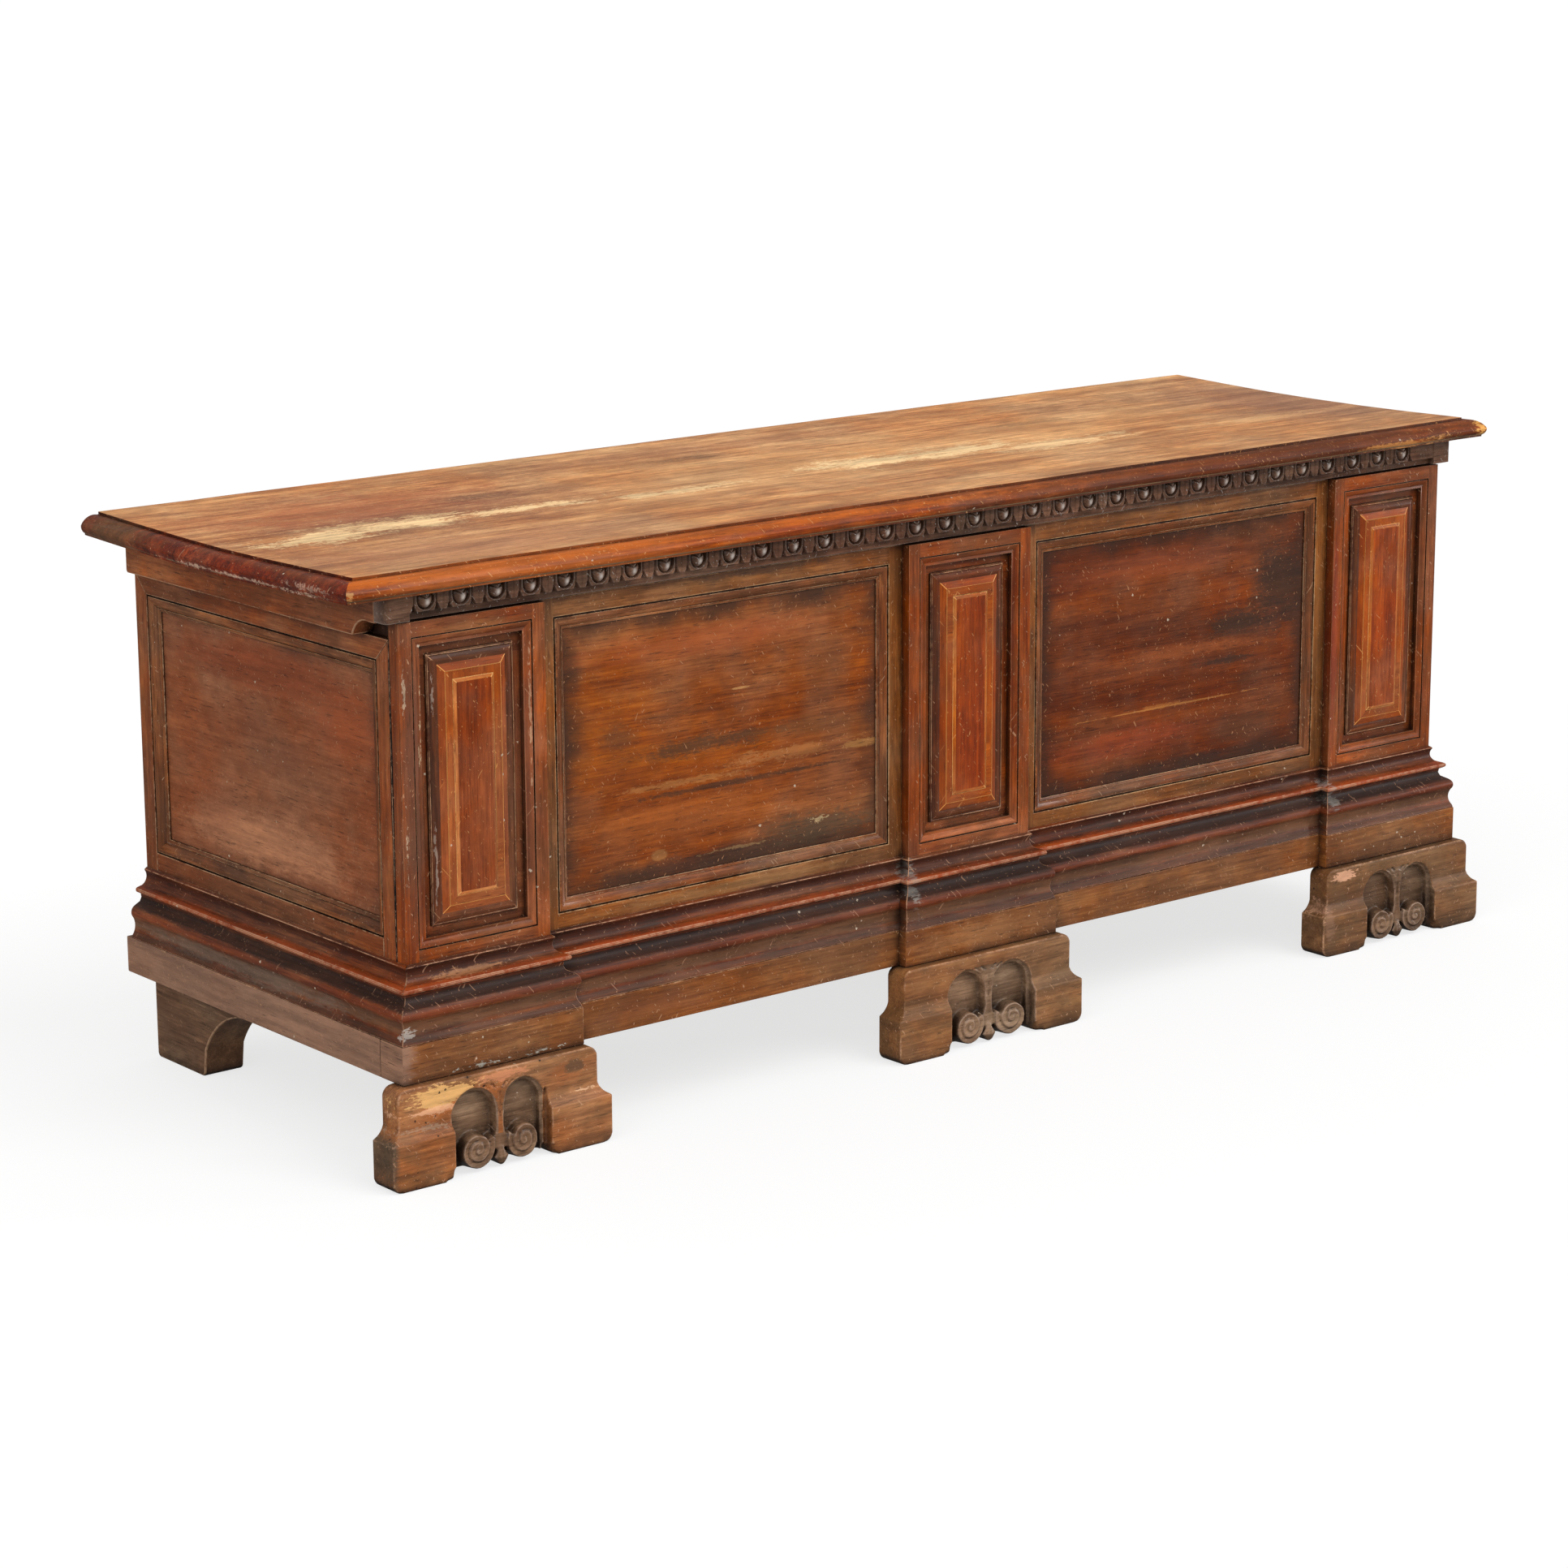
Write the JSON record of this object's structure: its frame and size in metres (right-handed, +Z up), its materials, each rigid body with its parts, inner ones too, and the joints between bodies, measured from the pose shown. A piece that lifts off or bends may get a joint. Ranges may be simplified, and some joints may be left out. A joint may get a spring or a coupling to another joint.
{
  "type": "cassone chest",
  "caption": "Long low walnut chest with a hinged cupped lid, panelled front with pilasters, moulded base and carved scroll feet.",
  "frame": {"origin": "on the floor under the middle of the whole chest, measured over the front feet and the back of the plinth", "axes": "+Z up, +X along the chest to the viewer's right when facing the front, +Y from the front to the back"},
  "size_m": [1.7, 0.58, 0.644],
  "materials": {
    "carcass_wood": "bare aged wood",
    "dark_carving": "near-black patina with polished high spots",
    "foot_walnut": "worn wax, matt in the carving",
    "frame_walnut": "worn wax, olive brown",
    "inlay_wood": "light fruitwood band, waxed",
    "lid_walnut": "worn wax over red-brown walnut",
    "moulding_walnut": "dark worn wax with pale edges",
    "panel_walnut": "old varnish, satin",
    "plinth_walnut": "worn wax, satin",
    "wrought_iron": "dark forged iron, dull"
  },
  "bodies": {
    "chest": {"back_board_lower": "carcass_wood", "back_board_middle": "carcass_wood", "back_board_upper": "carcass_wood", "base_moulding_front": "moulding_walnut", "base_moulding_left": "moulding_walnut", "base_moulding_right": "moulding_walnut", "bottom_board_back": "carcass_wood", "bottom_board_front": "carcass_wood", "bottom_board_middle": "carcass_wood", "bottom_ledger_back": "carcass_wood", "bottom_ledger_front": "carcass_wood", "front_board": "panel_walnut", "front_foot_centre": "foot_walnut", "front_foot_left": "foot_walnut", "front_foot_right": "foot_walnut", "hinge_body_leaf_left": "wrought_iron", "hinge_body_leaf_right": "wrought_iron", "hinge_pin_left": "wrought_iron", "hinge_pin_right": "wrought_iron", "panel_frame_left": "frame_walnut", "panel_frame_right": "frame_walnut", "panel_moulding_left": "moulding_walnut", "panel_moulding_right": "moulding_walnut", "pilaster_frame_centre": "frame_walnut", "pilaster_frame_left": "frame_walnut", "pilaster_frame_right": "frame_walnut", "pilaster_inlay_centre": "inlay_wood", "pilaster_inlay_left": "inlay_wood", "pilaster_inlay_right": "inlay_wood", "pilaster_panel_centre": "panel_walnut", "pilaster_panel_left": "panel_walnut", "pilaster_panel_right": "panel_walnut", "plinth_back": "plinth_walnut", "plinth_front": "plinth_walnut", "plinth_left": "plinth_walnut", "plinth_right": "plinth_walnut", "rear_foot_left": "foot_walnut", "rear_foot_right": "foot_walnut", "side_board_left": "panel_walnut", "side_board_right": "panel_walnut", "side_bottom_rail_left": "frame_walnut", "side_bottom_rail_right": "frame_walnut", "side_front_stile_left": "frame_walnut", "side_front_stile_right": "frame_walnut", "side_moulding_left": "moulding_walnut", "side_moulding_right": "moulding_walnut", "side_rear_stile_left": "frame_walnut", "side_rear_stile_right": "frame_walnut", "side_top_rail_left": "frame_walnut", "side_top_rail_right": "frame_walnut"},
    "lid": {"hinge_lid_leaf_left": "wrought_iron", "hinge_lid_leaf_right": "wrought_iron", "lid_board": "lid_walnut", "lid_cleat_left": "frame_walnut", "lid_cleat_right": "frame_walnut", "lid_front_strip": "dark_carving"}
  },
  "joints": [
    {"name": "lid_hinge", "type": "hinge", "parent": "chest", "child": "lid", "pos_m": [0, 0.28445, 0.6185], "axis": [-1, 0, 0], "range_deg": [0, 100]}
  ]
}
